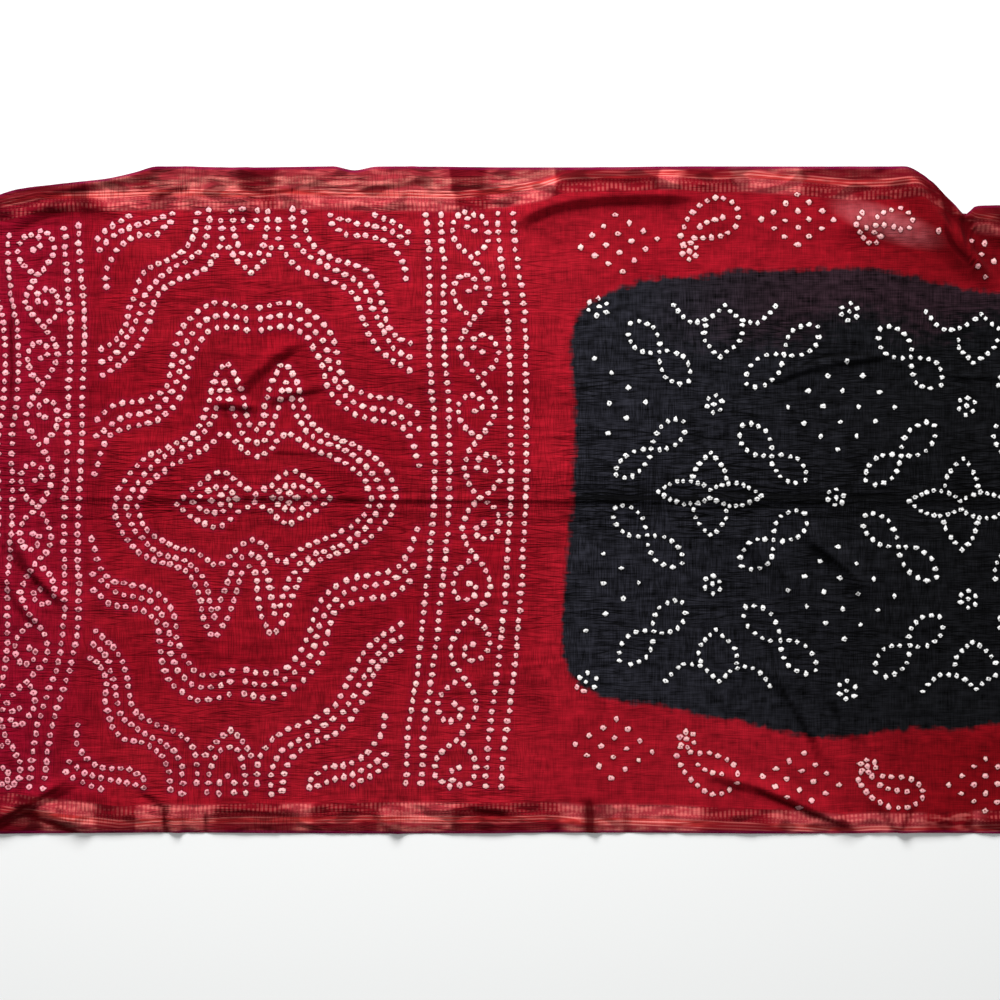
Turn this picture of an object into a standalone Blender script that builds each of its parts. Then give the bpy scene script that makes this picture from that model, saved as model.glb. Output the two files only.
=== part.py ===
"""Bandhani cloth: a cut length of tied and dyed crinkled cotton, lying in its folds.

Metres, +Z up. The origin is on the surface that the cloth lies on, below its middle.
+X runs along the length and +Y across the width, towards the upper selvedge. The tables
are in millimetres. The cloth is one sheet of even thickness, whose underside lies flat
on the surface and lifts off it only under the folds and the broad waves.
"""

import math
from typing import NamedTuple

import bmesh
import bpy
import numpy as np
from mathutils import Vector
from mathutils.geometry import delaunay_2d_cdt

MM = 0.001

# Driving sizes of the cloth as it lies
CLOTH_LENGTH = 1.000
CLOTH_WIDTH = 0.657
SHEET_THICKNESS = 0.0022

# Dyed and woven areas, which only colour the faces
BORDER_WIDTH = 0.039
FIELD_LEFT = 0.070
FIELD_HALF_WIDTH = 0.221
FIELD_CORNER = 0.045

# Spacing of the mesh's points: wide on the plain cloth, close where it bends
PLAIN_STEP = 0.030
BENT_STEP = 0.008
LEAST_BEND = 0.0007
FOLD_STEP = 0.012
EDGE_STEP = 0.012
CORNER_POINTS = 5
CREST_POINTS = 25

# How near a point may lie to those already placed
CLEAR_OF_FOLD = 0.0024
CLEAR_OF_DYE = 0.0050
CLEAR_OF_BEND = 0.0090
CLEAR_OF_PLAIN = 0.0120

# A fold that rises at least so many mm also has a line half-way down each side
HIGH_RISE = 4.5

# A fold fades out over this share of its length at each end
FADE_SHARE = 0.22

NODE_NAME = "cloth"

# The places of the three dyes in the cloth's list of materials
RED_GROUND, DARK_FIELD, WOVEN_BORDER = range(3)


class EdgePoint(NamedTuple):
    """How far the cloth's edge lies inside its straight selvedge line, in mm."""
    along: float
    inset: float


class Fold(NamedTuple):
    """A fold's crest from start through its middle to its end, its rise, and how far
    its foot lies to the left and right of the crest, seen along it; all in mm."""
    start: tuple
    middle: tuple
    end: tuple
    rise: float
    left: float
    right: float


class Wave(NamedTuple):
    """A broad wave of the whole cloth: its lengths along X and Y and its rise, in mm,
    and its phase as a share of a turn."""
    length_x: float
    length_y: float
    rise: float
    phase: float


UPPER_EDGE = (
    EdgePoint(-500, 30),
    EdgePoint(-473, 22),
    EdgePoint(-433, 17),
    EdgePoint(-384, 12),
    EdgePoint(-360, 6),
    EdgePoint(-337, 0),
    EdgePoint(-250, 1),
    EdgePoint(-165, 0),
    EdgePoint(-143, 4),
    EdgePoint(-120, 0),
    EdgePoint(40, 1),
    EdgePoint(220, 0),
    EdgePoint(399, 0),
    EdgePoint(424, 14),
    EdgePoint(443, 33),
    EdgePoint(458, 47),
    EdgePoint(469, 39),
    EdgePoint(500, 38),
)

LOWER_EDGE = (
    EdgePoint(-500, 0),
    EdgePoint(-320, 1),
    EdgePoint(-110, 0),
    EdgePoint(95, 1),
    EdgePoint(300, 0),
    EdgePoint(400, 1),
    EdgePoint(500, 0),
)

# Folds across the upper woven border
UPPER_BORDER_FOLDS = (
    Fold((-248, 336), (-248, 305), (-249, 273), 5, 5, 22),
    Fold((-309, 336), (-307, 315), (-303, 290), 3, 16, 8),
    Fold((-88, 336), (-89, 310), (-92, 283), 3.5, 14, 5),
    Fold((8, 256), (62, 293), (202, 299), 9, 24, 9),
    Fold((30, 290), (84, 320), (187, 309), 5, 10, 9),
    Fold((-512, 291), (-433, 306), (-330, 325), 4, 5, 8),
    Fold((-488, 269), (-431, 290), (-369, 283), 4, 9, 9),
)

# The turned-in corner with its notch, and the loose lobe beside it
CORNER_FOLDS = (
    Fold((315, 256), (379, 273), (438, 246), 5, 26, 22),
    Fold((387, 336), (429, 279), (492, 206), 12, 12, 24),
    Fold((408, 330), (436, 308), (456, 284), 3, 4, 6),
    Fold((450, 299), (453, 263), (478, 221), 6, 7, 8),
    Fold((465, 290), (483, 270), (504, 256), 6, 14, 14),
)

# The pressed middle crease and the pinched folds of the medallion and the left band
MIDDLE_FOLDS = (
    Fold((-512, 2), (-118, 1), (512, -1), 3, 6, 4),
    Fold((-264, 100), (-234, 132), (-195, 159), 6, 14, 8),
    Fold((-288, 92), (-266, 95), (-238, 89), 5, 9, 6),
    Fold((-234, 94), (-207, 105), (-167, 114), 3.5, 10, 6),
    Fold((-481, 246), (-473, 128), (-476, 0), 4, 9, 6),
    Fold((-485, -20), (-457, -71), (-418, -109), 6, 13, 7),
    Fold((-491, -66), (-473, -99), (-447, -127), 5, 11, 6),
)

# Slanting folds of the dark field
FIELD_FOLDS = (
    Fold((261, 112), (313, 132), (399, 144), 3.5, 8, 5),
    Fold((428, 126), (463, 122), (507, 122), 3, 6, 5),
    Fold((291, -30), (333, -60), (361, -103), 8, 18, 9),
    Fold((219, -22), (264, -60), (301, -95), 4, 16, 10),
    Fold((248, -150), (296, -209), (327, -272), 6, 14, 7),
    Fold((321, -188), (335, -209), (347, -239), 4, 10, 6),
)

# Folds across the lower woven border
LOWER_BORDER_FOLDS = (
    Fold((-510, -326), (-463, -297), (-414, -276), 8, 16, 8),
    Fold((-471, -298), (-438, -309), (-398, -328), 6, 14, 7),
    Fold((-321, -288), (-319, -311), (-315, -337), 4, 7, 12),
    Fold((-126, -302), (-112, -316), (-95, -337), 4, 10, 6),
    Fold((-41, -302), (-16, -300), (16, -307), 4.5, 10, 6),
    Fold((92, -288), (93, -311), (95, -337), 4, 6, 14),
    Fold((197, -268), (281, -292), (362, -333), 7, 15, 7),
    Fold((366, -292), (386, -310), (402, -337), 4, 10, 7),
)

FOLDS = UPPER_BORDER_FOLDS + CORNER_FOLDS + MIDDLE_FOLDS + FIELD_FOLDS + LOWER_BORDER_FOLDS

WAVES = (
    Wave(410, -260, 1.1, 0.10),
    Wave(-190, 330, 0.8, 0.45),
    Wave(150, 140, 0.6, 0.80),
)

# The level below which the waves leave the cloth flat on the surface
WAVE_FLOAT = -0.5


def clear_scene():
    """Remove every object that the file holds."""
    for item in list(bpy.data.objects):
        bpy.data.objects.remove(item, do_unlink=True)


def smooth_curve(points, x):
    """A curve through the edge points that never overshoots them, in metres."""
    xs = np.array([point.along for point in points]) * MM
    ys = np.array([point.inset for point in points]) * MM
    steps = np.diff(xs)
    slopes = np.diff(ys) / steps
    same_way = slopes[:-1] * slopes[1:] > 0
    total = np.where(same_way, slopes[:-1] + slopes[1:], 1.0)
    inner = np.where(same_way, 2 * slopes[:-1] * slopes[1:] / total, 0.0)
    tangents = np.concatenate(([slopes[0]], inner, [slopes[-1]]))
    span = np.clip(np.searchsorted(xs, x) - 1, 0, len(steps) - 1)
    share = (x - xs[span]) / steps[span]
    ease = share * share * (3 - 2 * share)
    lead = share * (1 - share) ** 2 * tangents[span]
    trail = share * share * (share - 1) * tangents[span + 1]
    return ys[span] + ease * (ys[span + 1] - ys[span]) + steps[span] * (lead + trail)


def upper_edge(x):
    """The upper edge's Y at each x."""
    return CLOTH_WIDTH / 2 - smooth_curve(UPPER_EDGE, x)


def lower_edge(x):
    """The lower edge's Y at each x."""
    return -CLOTH_WIDTH / 2 + smooth_curve(LOWER_EDGE, x)


def crest_line(fold, count):
    """Points along a fold's crest, on the one parabola through its three places."""
    start, middle, end = (np.array(place) * MM for place in (fold.start, fold.middle, fold.end))
    pull = 2 * middle - (start + end) / 2
    share = np.linspace(0, 1, count)[:, None]
    return (1 - share) ** 2 * start + 2 * share * (1 - share) * pull + share ** 2 * end


def fold_height(fold, x, y):
    """How much one fold lifts the cloth at each place."""
    crest = crest_line(fold, CREST_POINTS)
    starts = crest[:-1]
    runs = np.diff(crest, axis=0)
    spans = np.hypot(runs[:, 0], runs[:, 1])
    nearest = np.full(x.shape, np.inf)
    side = np.zeros(x.shape)
    along = np.zeros(x.shape)
    walked = 0.0
    for start, run, span in zip(starts, runs, spans):
        from_x = x - start[0]
        from_y = y - start[1]
        share = np.clip((from_x * run[0] + from_y * run[1]) / span ** 2, 0, 1)
        gap = np.hypot(from_x - share * run[0], from_y - share * run[1])
        closer = gap < nearest
        nearest = np.where(closer, gap, nearest)
        side = np.where(closer, run[0] * from_y - run[1] * from_x, side)
        along = np.where(closer, walked + share * span, along)
        walked += span
    foot = np.where(side > 0, fold.left, fold.right) * MM
    across = 0.5 + 0.5 * np.cos(math.pi * np.clip(nearest / foot, 0, 1))
    ends = np.clip(np.minimum(along, walked - along) / (FADE_SHARE * walked), 0, 1)
    return fold.rise * MM * across * ends * ends * (3 - 2 * ends)


def wave_height(x, y):
    """The broad waves, level with the surface where they would dip below it."""
    height = np.full(x.shape, WAVE_FLOAT * MM)
    for wave in WAVES:
        turns = x / (wave.length_x * MM) + y / (wave.length_y * MM) + wave.phase
        height = height + wave.rise * MM * np.sin(2 * math.pi * turns)
    return np.maximum(height, 0.0)


def underside(x, y):
    """The height of the cloth's underside above the surface."""
    height = wave_height(x, y)
    for fold in FOLDS:
        height = height + fold_height(fold, x, y)
    return height


def outline():
    """The cloth's outline, anticlockwise from its lower left corner."""
    count = round(CLOTH_LENGTH / EDGE_STEP) + 1
    x = np.linspace(-CLOTH_LENGTH / 2, CLOTH_LENGTH / 2, count)
    below = np.column_stack((x, lower_edge(x)))
    above = np.column_stack((x, upper_edge(x)))
    right = cut_end(below[-1], above[-1])
    left = cut_end(above[0], below[0])
    return np.vstack((below, right, above[::-1], left))


def cut_end(start, end):
    """The points of a straight cut end, between its two corners."""
    count = round(abs(end[1] - start[1]) / EDGE_STEP) + 1
    return np.linspace(start, end, count)[1:-1]


def fold_lines(fold):
    """Lines of even points on a fold's crest and feet and, if it is high, half-way down."""
    places = crest_line(fold, CREST_POINTS)
    length = np.hypot(*np.diff(places, axis=0).T).sum()
    crest = crest_line(fold, max(round(length / FOLD_STEP), 3) + 1)
    heading = np.gradient(crest, axis=0)
    heading /= np.hypot(heading[:, 0], heading[:, 1])[:, None]
    leftward = np.column_stack((-heading[:, 1], heading[:, 0]))
    offsets = [0.0, fold.left, -fold.right]
    if fold.rise >= HIGH_RISE:
        offsets += [fold.left / 2, -fold.right / 2]
    return [crest + leftward * offset * MM for offset in offsets]


def field_line():
    """The dark field's outline: its lower side, rounded left side and upper side."""
    middle_x = FIELD_LEFT + FIELD_CORNER
    middle_y = FIELD_HALF_WIDTH - FIELD_CORNER
    turns = np.linspace(math.pi, math.pi / 2, CORNER_POINTS)
    corner_x = middle_x + FIELD_CORNER * np.cos(turns)
    corner_y = middle_y + FIELD_CORNER * np.sin(turns)
    side_x = np.arange(middle_x + PLAIN_STEP, CLOTH_LENGTH / 2, PLAIN_STEP)
    side_y = np.full(side_x.shape, FIELD_HALF_WIDTH)
    upper = np.column_stack((np.append(corner_x, side_x), np.append(corner_y, side_y)))
    return np.vstack((upper[::-1] * (1, -1), upper))


def border_lines():
    """The inner edges of the two woven borders."""
    x = np.arange(-CLOTH_LENGTH / 2 + EDGE_STEP, CLOTH_LENGTH / 2, 2 * EDGE_STEP)
    upper = np.column_stack((x, upper_edge(x) - BORDER_WIDTH))
    lower = np.column_stack((x, lower_edge(x) + BORDER_WIDTH))
    return [upper, lower]


def lattice(step):
    """Even points all over the cloth."""
    xs = np.arange(-CLOTH_LENGTH / 2 + step / 2, CLOTH_LENGTH / 2, step)
    ys = np.arange(-CLOTH_WIDTH / 2 + step / 2, CLOTH_WIDTH / 2, step)
    x, y = np.meshgrid(xs, ys)
    return np.column_stack((x.ravel(), y.ravel()))


def bent_places():
    """Close points where the cloth bends between one point and the next."""
    places = lattice(BENT_STEP)
    x, y = places.T
    across = underside(x + BENT_STEP, y) + underside(x - BENT_STEP, y)
    along = underside(x, y + BENT_STEP) + underside(x, y - BENT_STEP)
    bend = np.abs(across + along - 4 * underside(x, y))
    return places[bend > LEAST_BEND]


def inside(point, margin):
    """Whether a place is on the cloth, clear of its edges."""
    if abs(point[0]) > CLOTH_LENGTH / 2 - margin:
        return False
    x = np.array([point[0]])
    return lower_edge(x)[0] + margin < point[1] < upper_edge(x)[0] - margin


def gather_points():
    """The mesh's points: the outline, then the folds, the dyed areas and the rest."""
    rim = outline()
    points = [tuple(place) for place in rim]
    highest = sorted(FOLDS, key=lambda fold: -fold.rise)
    lines = [(line, CLEAR_OF_FOLD) for fold in highest for line in fold_lines(fold)]
    lines += [(line, CLEAR_OF_DYE) for line in [field_line()] + border_lines()]
    lines.append((bent_places(), CLEAR_OF_BEND))
    lines.append((lattice(PLAIN_STEP), CLEAR_OF_PLAIN))
    for line, gap in lines:
        for place in line:
            if not inside(place, gap):
                continue
            taken = np.array(points)
            if np.min(np.hypot(taken[:, 0] - place[0], taken[:, 1] - place[1])) > gap:
                points.append(tuple(place))
    return points, len(rim)


def triangles():
    """The cloth seen from above as triangles between its points."""
    points, rim_count = gather_points()
    places = [Vector(point) for point in points]
    rim = list(range(rim_count))
    flat, _, faces, _, _, _ = delaunay_2d_cdt(places, [], [rim], 1, 1e-6)
    return np.array([tuple(place) for place in flat]), faces


def dye_index(place):
    """Which dye a place on the cloth has."""
    x = np.array([place.x])
    to_edge = min(upper_edge(x)[0] - place.y, place.y - lower_edge(x)[0])
    if to_edge < BORDER_WIDTH:
        return WOVEN_BORDER
    corner_x = max(FIELD_LEFT + FIELD_CORNER - place.x, 0.0)
    corner_y = max(abs(place.y) - FIELD_HALF_WIDTH + FIELD_CORNER, 0.0)
    if math.hypot(corner_x, corner_y) < FIELD_CORNER:
        return DARK_FIELD
    return RED_GROUND


def cloth_mesh():
    """The sheet as one closed body: the underside, raised by the sheet's thickness."""
    flat, faces = triangles()
    heights = underside(flat[:, 0], flat[:, 1])
    shape = bmesh.new()
    corners = [shape.verts.new((x, y, z)) for (x, y), z in zip(flat, heights)]
    for face in faces:
        shape.faces.new([corners[index] for index in face])
    raised = bmesh.ops.extrude_face_region(shape, geom=shape.faces[:])
    top = [item for item in raised["geom"] if isinstance(item, bmesh.types.BMVert)]
    bmesh.ops.translate(shape, verts=top, vec=(0, 0, SHEET_THICKNESS))
    bmesh.ops.recalc_face_normals(shape, faces=shape.faces[:])
    for face in shape.faces:
        face.material_index = dye_index(face.calc_center_median())
    mesh = bpy.data.meshes.new(NODE_NAME)
    shape.to_mesh(mesh)
    shape.free()
    return mesh


def dyed_cotton(name, colour, roughness):
    """A plain cotton finish."""
    material = bpy.data.materials.new(name)
    material.use_nodes = True
    shader = material.node_tree.nodes["Principled BSDF"]
    shader.inputs["Base Color"].default_value = (*colour, 1.0)
    shader.inputs["Roughness"].default_value = roughness
    shader.inputs["Metallic"].default_value = 0.0
    return material


def add_cloth():
    """The cloth with its three dyes."""
    mesh = cloth_mesh()
    mesh.materials.append(dyed_cotton("red_ground", (0.40, 0.012, 0.022), 0.75))
    mesh.materials.append(dyed_cotton("dark_field", (0.011, 0.013, 0.020), 0.80))
    mesh.materials.append(dyed_cotton("woven_border", (0.55, 0.10, 0.07), 0.55))
    cloth = bpy.data.objects.new(NODE_NAME, mesh)
    bpy.context.scene.collection.objects.link(cloth)
    return cloth


clear_scene()
add_cloth()
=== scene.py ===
"""The looks of a bandhani cloth: crinkled cotton, tied in knots and dyed red and black.

Metres, +Z up. The cloth is one thin crinkled sheet on the folds of its solid. Its tied
knots, dyes and woven borders are drawn by its finish, from the places that the functions
here work out. The tables are in millimetres from the middle of the cloth.
"""

import math
from typing import NamedTuple

import bpy
import numpy as np
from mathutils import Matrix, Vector
from mathutils.kdtree import KDTree


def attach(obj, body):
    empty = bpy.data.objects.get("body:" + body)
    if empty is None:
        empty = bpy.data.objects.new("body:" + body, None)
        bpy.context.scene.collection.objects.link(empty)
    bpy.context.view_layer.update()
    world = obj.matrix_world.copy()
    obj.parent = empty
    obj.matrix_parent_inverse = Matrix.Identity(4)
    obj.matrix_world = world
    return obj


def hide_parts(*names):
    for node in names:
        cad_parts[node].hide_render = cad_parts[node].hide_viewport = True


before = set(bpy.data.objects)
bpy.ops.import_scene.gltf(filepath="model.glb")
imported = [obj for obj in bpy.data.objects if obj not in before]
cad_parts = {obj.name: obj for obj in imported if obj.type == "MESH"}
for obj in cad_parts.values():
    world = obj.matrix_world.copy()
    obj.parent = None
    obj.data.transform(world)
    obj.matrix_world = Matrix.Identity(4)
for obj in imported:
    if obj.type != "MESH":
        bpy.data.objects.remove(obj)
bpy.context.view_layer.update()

MM = 0.001

# The cloth as it lies
CLOTH_LENGTH = 1.000
CLOTH_WIDTH = 0.657

# The sheet's points
COLUMNS = 272
ROWS = 362

# How the crinkled sheet lies in the depth of its solid
SHEET_LIFT = 0.9
CRINKLE_DEPTH = 2.1
BORDER_CRUMPLE = 2.4
KNOT_PUCKER = 0.8
PUCKER_REACH = 4.4
TUCK_DEPTH = 0.9
TUCK_WIDTH = 2.2
LEAST_TUCKED = 3.2
DEEPEST_CREASE = 1.9
LIP_DEPTH = 1.4
LIP_REACH = 3.6
LEAST_HEIGHT = 0.12

# Crinkles gather round the pressed middle crease
MIDDLE_CREASE = 2.5
CREASE_REACH = 42.0

# A fold fades out over this share of its length at each end
FADE_SHARE = 0.22
CREST_POINTS = 25

# The level below which the waves leave the cloth flat on the surface
WAVE_FLOAT = -0.5

# Knots tied nearer than this are one knot
KNOT_GAP = 5.2
KNOT_STRAY = 0.42


class EdgePoint(NamedTuple):
    """How far the cloth's edge lies inside its straight selvedge line, in mm."""
    along: float
    inset: float


class Fold(NamedTuple):
    """A fold's crest from start through its middle to its end, its rise, and how far
    its foot lies to the left and right of the crest, seen along it; all in mm."""
    start: tuple
    middle: tuple
    end: tuple
    rise: float
    left: float
    right: float


class Wave(NamedTuple):
    """A broad wave of the whole cloth: its lengths along X and Y and its rise, in mm,
    and its phase as a share of a turn."""
    length_x: float
    length_y: float
    rise: float
    phase: float


class Chain(NamedTuple):
    """A line of tied knots: the gap between them, and the places that it runs through,
    in mm outwards from the middle of the panel."""
    gap: float
    places: tuple


class Grain(NamedTuple):
    """Soft chance values: the length of their hills and hollows along and across the cloth
    in mm, their seed, and how much finer detail they have."""
    along: float
    across: float
    seed: int
    detail: float = 0.0


class Stripe(NamedTuple):
    """A stripe along an edge: the depths where it starts and ends, and how soft its own
    edges are, in mm."""
    low: float
    high: float
    soft: float = 0.35


class Shift(NamedTuple):
    """How far the crinkled cloth has drawn the pattern at this y of a column, in mm."""
    y: float
    shift_x: float
    shift_y: float


class Motif(NamedTuple):
    """Where a motif of the red ground lies, in mm, its turn in degrees, and how much of
    its even width and height the crinkles leave it."""
    x: float
    y: float
    turn: float
    width: float
    height: float


UPPER_EDGE = (
    EdgePoint(-500, 30),
    EdgePoint(-473, 22),
    EdgePoint(-433, 17),
    EdgePoint(-384, 12),
    EdgePoint(-360, 6),
    EdgePoint(-337, 0),
    EdgePoint(-250, 1),
    EdgePoint(-165, 0),
    EdgePoint(-143, 4),
    EdgePoint(-120, 0),
    EdgePoint(40, 1),
    EdgePoint(220, 0),
    EdgePoint(399, 0),
    EdgePoint(424, 14),
    EdgePoint(443, 33),
    EdgePoint(458, 47),
    EdgePoint(469, 39),
    EdgePoint(500, 38),
)

LOWER_EDGE = (
    EdgePoint(-500, 0),
    EdgePoint(-320, 1),
    EdgePoint(-110, 0),
    EdgePoint(95, 1),
    EdgePoint(300, 0),
    EdgePoint(400, 1),
    EdgePoint(500, 0),
)

# Folds across the upper woven border
UPPER_BORDER_FOLDS = (
    Fold((-248, 336), (-248, 305), (-249, 273), 5, 5, 22),
    Fold((-309, 336), (-307, 315), (-303, 290), 3, 16, 8),
    Fold((-88, 336), (-89, 310), (-92, 283), 3.5, 14, 5),
    Fold((8, 256), (62, 293), (202, 299), 9, 24, 9),
    Fold((30, 290), (84, 320), (187, 309), 5, 10, 9),
    Fold((-512, 291), (-433, 306), (-330, 325), 4, 5, 8),
    Fold((-488, 269), (-431, 290), (-369, 283), 4, 9, 9),
)

# The turned-in corner with its notch, and the loose lobe beside it
CORNER_FOLDS = (
    Fold((315, 256), (379, 273), (438, 246), 5, 26, 22),
    Fold((387, 336), (429, 279), (492, 206), 12, 12, 24),
    Fold((408, 330), (436, 308), (456, 284), 3, 4, 6),
    Fold((450, 299), (453, 263), (478, 221), 6, 7, 8),
    Fold((465, 290), (483, 270), (504, 256), 6, 14, 14),
)

# The pressed middle crease and the pinched folds of the medallion and the left band
MIDDLE_FOLDS = (
    Fold((-512, 2), (-118, 1), (512, -1), 3, 6, 4),
    Fold((-264, 100), (-234, 132), (-195, 159), 6, 14, 8),
    Fold((-288, 92), (-266, 95), (-238, 89), 5, 9, 6),
    Fold((-234, 94), (-207, 105), (-167, 114), 3.5, 10, 6),
    Fold((-481, 246), (-473, 128), (-476, 0), 4, 9, 6),
    Fold((-485, -20), (-457, -71), (-418, -109), 6, 13, 7),
    Fold((-491, -66), (-473, -99), (-447, -127), 5, 11, 6),
)

# Slanting folds of the dark field
FIELD_FOLDS = (
    Fold((261, 112), (313, 132), (399, 144), 3.5, 8, 5),
    Fold((428, 126), (463, 122), (507, 122), 3, 6, 5),
    Fold((291, -30), (333, -60), (361, -103), 8, 18, 9),
    Fold((219, -22), (264, -60), (301, -95), 4, 16, 10),
    Fold((248, -150), (296, -209), (327, -272), 6, 14, 7),
    Fold((321, -188), (335, -209), (347, -239), 4, 10, 6),
)

# Folds across the lower woven border
LOWER_BORDER_FOLDS = (
    Fold((-510, -326), (-463, -297), (-414, -276), 8, 16, 8),
    Fold((-471, -298), (-438, -309), (-398, -328), 6, 14, 7),
    Fold((-321, -288), (-319, -311), (-315, -337), 4, 7, 12),
    Fold((-126, -302), (-112, -316), (-95, -337), 4, 10, 6),
    Fold((-41, -302), (-16, -300), (16, -307), 4.5, 10, 6),
    Fold((92, -288), (93, -311), (95, -337), 4, 6, 14),
    Fold((197, -268), (281, -292), (362, -333), 7, 15, 7),
    Fold((366, -292), (386, -310), (402, -337), 4, 10, 7),
)

FOLDS = UPPER_BORDER_FOLDS + CORNER_FOLDS + MIDDLE_FOLDS + FIELD_FOLDS + LOWER_BORDER_FOLDS

# Sharp creases in the sheet, pressed or pinched between its folds
CREASES = (
    Fold((-292, 3), (-205, 1), (-108, 3), -2.3, 5, 4),
    Fold((-400, -12), (-370, -11), (-330, -12), -0.7, 2.6, 2.6),
    Fold((60, 3), (130, 2), (215, 2), -1.6, 3.4, 2.8),
    Fold((180, 3), (300, 2), (505, 4), -1.1, 3.4, 2.8),
    Fold((-280, 91), (-262, 89), (-238, 91), -1.9, 3, 3),
    Fold((-236, 104), (-222, 100), (-205, 108), -1.6, 3, 3),
    Fold((-232, 47), (-196, 44), (-150, 43), -1.5, 3, 2.5),
    Fold((-284, -89), (-262, -90), (-240, -89), -1.4, 3, 2.5),
    Fold((286, 122), (322, 142), (372, 140), -1.7, 3, 2.5),
    Fold((262, -148), (286, -202), (320, -254), -1.7, 3, 3),
    Fold((325, -196), (333, -214), (340, -224), -1.4, 2.5, 2.5),
    Fold((300, -42), (330, -62), (360, -88), -2.0, 3.5, 3),
    Fold((258, -58), (272, -68), (284, -80), -1.3, 3, 2.5),
    Fold((238, -279), (300, -306), (352, -324), -2.2, 4.5, 4),
    Fold((-497, -36), (-462, -76), (-424, -104), -2.1, 4, 3.5),
    Fold((-482, 212), (-481, 130), (-479, 40), -1.9, 3.4, 3),
    Fold((-508, -326), (-468, -302), (-420, -276), -2.3, 5, 4),
    Fold((-472, -306), (-443, -318), (-404, -334), -2.1, 4.5, 4),
    Fold((-358, -286), (-338, -298), (-322, -312), -1.8, 5, 4),
    Fold((-333, -298), (-330, -314), (-327, -338), -2.2, 5, 5),
    Fold((-290, -304), (-289, -318), (-288, -338), -1.7, 4, 4),
    Fold((87, -288), (88, -310), (89, -340), -2.4, 12, 12),
    Fold((-32, -305), (-12, -308), (10, -308), -1.9, 5, 5),
    Fold((123, -298), (124, -314), (126, -338), -1.2, 8, 8),
    Fold((408, -300), (402, -312), (392, -328), -1.6, 4, 4),
    Fold((392, 334), (434, 306), (438, 262), -2.4, 7, 6),
    Fold((437, 276), (446, 248), (474, 226), -2.1, 4, 4),
    Fold((456, 282), (456, 264), (457, 244), -2.0, 3, 3),
    Fold((-262, 309), (-225, 303), (-192, 309), -1.9, 4, 4),
    Fold((-148, 306), (-110, 308), (-60, 316), -1.6, 4, 5),
    Fold((-342, 292), (-325, 303), (-302, 306), -1.8, 5, 6),
    Fold((-476, 303), (-450, 306), (-412, 312), -1.5, 4, 4),
    Fold((-468, 284), (-447, 282), (-420, 287), -1.6, 4, 5),
)

WAVES = (
    Wave(410, -260, 1.1, 0.10),
    Wave(-190, 330, 0.8, 0.45),
    Wave(150, 140, 0.6, 0.80),
)

# The outline of the black dye, beyond the cut end at its right
FIELD_OUTLINE = (
    (527, 204), (491, 204), (454, 209), (421, 216), (387, 225), (344, 229), (294, 226),
    (233, 226), (200, 220), (150, 218), (122, 210), (97, 199), (80, 187), (70, 157),
    (71, 120), (74, 83), (71, 0), (67, -41), (65, -77), (61, -118), (62, -148), (69, -171),
    (89, -188), (116, -197), (160, -203), (200, -213), (240, -218), (274, -228), (313, -233),
    (347, -233), (380, -227), (421, -225), (458, -225), (491, -220), (527, -217),
)

# The inner edges of the two woven borders
UPPER_BORDER = (
    (-500, 272), (-453, 284), (-414, 284), (-335, 286), (-197, 285), (-39, 284), (5, 287),
    (39, 295), (62, 302), (160, 304), (246, 305), (296, 301), (345, 296), (387, 297),
    (414, 298), (443, 281), (468, 263), (500, 260),
)
LOWER_BORDER = (
    (-500, -288), (-433, -296), (-374, -302), (-296, -299), (-177, -297), (-49, -297),
    (59, -298), (197, -302), (296, -307), (394, -309), (500, -307),
)

# The end panel: each chain is tied in one quarter and mirrored into the other three
PANEL_MIDDLE = (-241.0, 2.5)
PANEL_CHAINS = (
    # Waves at the ends
    Chain(8.9, ((156, 151), (144, 157), (132, 172), (127, 192), (109, 223), (79, 234), (57, 253),
                (52, 280))),
    Chain(8.9, ((155, 138), (138, 149), (119, 182), (108, 205), (89, 219), (49, 243), (41, 271),
                (41, 283))),
    Chain(8.9, ((154, 125), (126, 144), (111, 168), (99, 197), (84, 209), (44, 227), (29, 251),
                (28, 273))),
    # The pointed leaf between the waves
    Chain(8.4, ((25, 270), (25, 255), (14, 234), (0, 221))),
    Chain(8.4, ((18, 282), (15, 257), (8, 241), (0, 238))),
    Chain(8.4, ((7, 283), (6, 272), (0, 266))),
    # Corner sprays
    Chain(9.2, ((155, 261), (141, 270), (121, 277))),
    Chain(9.4, ((153, 251), (138, 261), (119, 267), (100, 270), (78, 277))),
    Chain(9.4, ((150, 215), (148, 231), (133, 250), (114, 257), (94, 258), (79, 269))),
    # Mounds over the medallion
    Chain(10.0, ((159, 83), (142, 96), (110, 101), (89, 113), (82, 140), (72, 167), (45, 189),
                 (26, 191), (7, 187))),
    Chain(10.0, ((160, 67), (134, 84), (98, 93), (77, 120), (68, 153), (46, 175), (26, 179),
                 (7, 175))),
    Chain(10.0, ((160, 31), (152, 58), (138, 72), (97, 82), (73, 105), (64, 136), (45, 164),
                 (26, 168), (7, 164))),
    # The medallion
    Chain(8.8, ((137, 0), (131, 21), (106, 47), (63, 65), (48, 88), (40, 116), (28, 132),
                (14, 107), (7, 74), (0, 66))),
    Chain(8.8, ((124, 0), (118, 18), (92, 45), (61, 57), (42, 77), (34, 105), (29, 112),
                (23, 90), (12, 61), (0, 54))),
    Chain(8.8, ((113, 0), (105, 20), (81, 37), (51, 49), (31, 63), (12, 46), (0, 40))),
    # The pair of eyes in the medallion
    Chain(8.6, ((73, 0), (58, 14), (34, 26), (15, 13), (0, 4))),
    Chain(8.6, ((58, 0), (49, 8), (36, 12), (24, 8), (17, 0))),
    Chain(8.6, ((41, 0), (33, 4.5), (25, 0))),
    # Upright rows beside the scroll
    *(Chain(8.8, ((x, 0), (x, 278))) for x in (175, 190, 250, 265)),
)

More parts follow.
